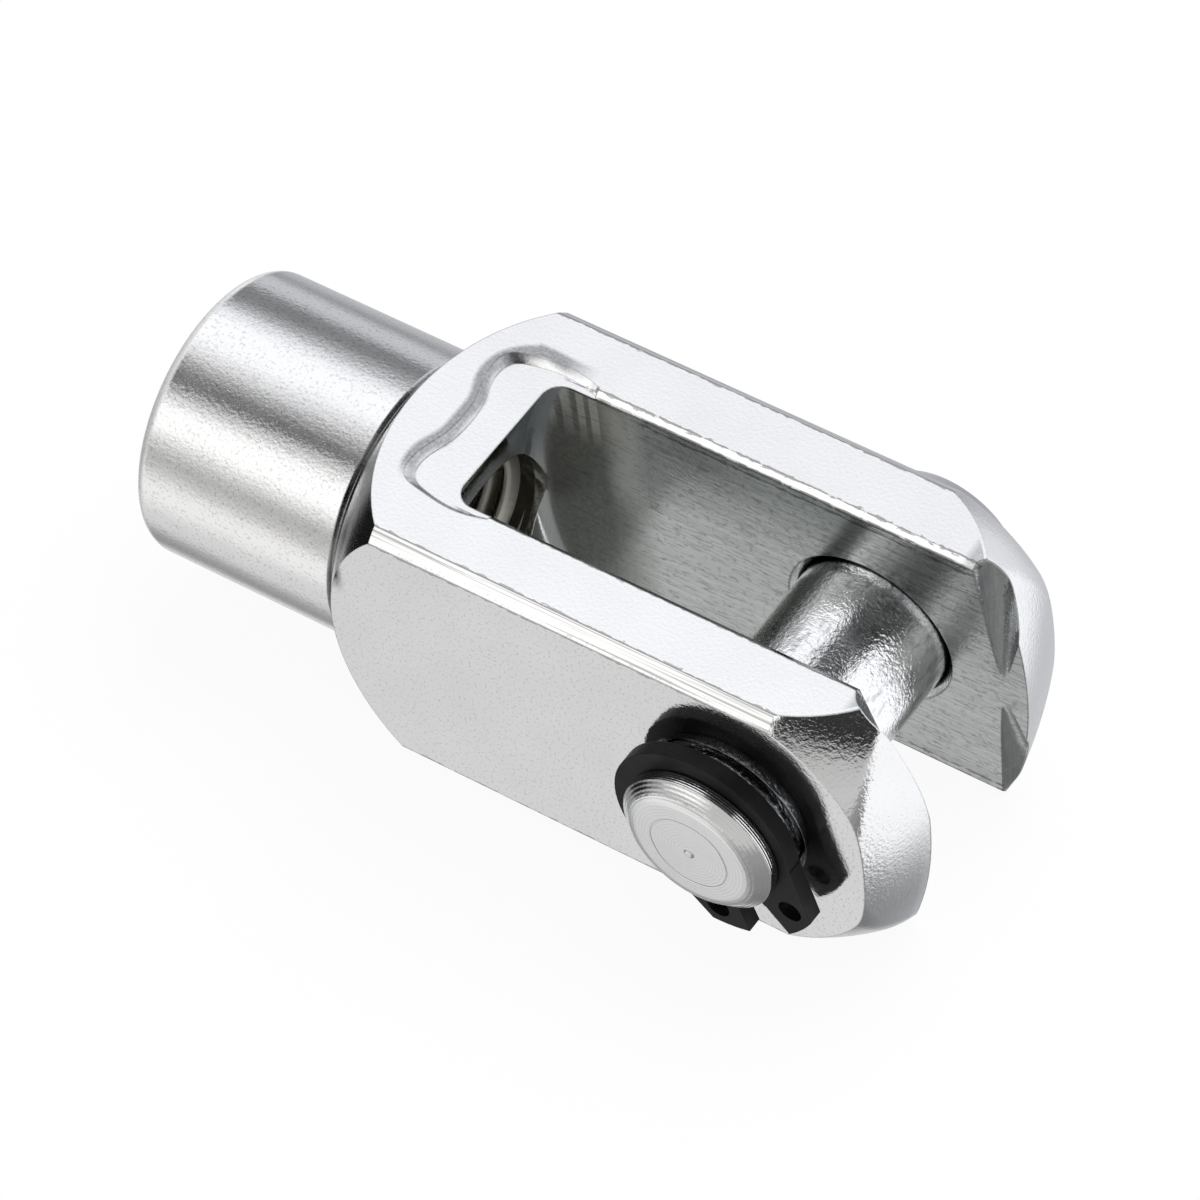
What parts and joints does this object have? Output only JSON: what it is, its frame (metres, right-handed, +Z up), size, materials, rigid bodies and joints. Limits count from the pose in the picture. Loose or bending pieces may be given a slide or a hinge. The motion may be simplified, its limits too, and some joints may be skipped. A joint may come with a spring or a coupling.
{
  "type": "tension rod clevis",
  "caption": "Fork end for a tension rod: threaded round neck, square slotted fork with a domed tip, and a headed cross pin held by a spring retaining ring.",
  "frame": {"origin": "centre of the neck's end face, where the tension rod screws in", "axes": "+X from the threaded neck to the fork tip, +Y along the cross pin from the ring side to the head, +Z up through the open side of the slot"},
  "size_m": [0.0526, 0.0272, 0.02],
  "materials": {
    "plated_steel": "bright zinc plating with a fine orange-peel texture",
    "pin_steel": "bright turned steel, lightly plated",
    "black_spring_steel": "matt black phosphate"
  },
  "bodies": {
    "fork": {"fork": "plated_steel"},
    "ring": {"circlip": "black_spring_steel"},
    "pin": {"clevis_pin": "pin_steel"}
  },
  "joints": [
    {"name": "pin_end_float", "type": "slide", "parent": "fork", "child": "ring", "axis": [0, 1, 0], "range_m": [-0.00005, 0.0009]},
    {"name": "pin_spin", "type": "hinge", "parent": "ring", "child": "pin", "pos_m": [0.042, 0, 0], "axis": [0, 1, 0], "continuous": true}
  ]
}
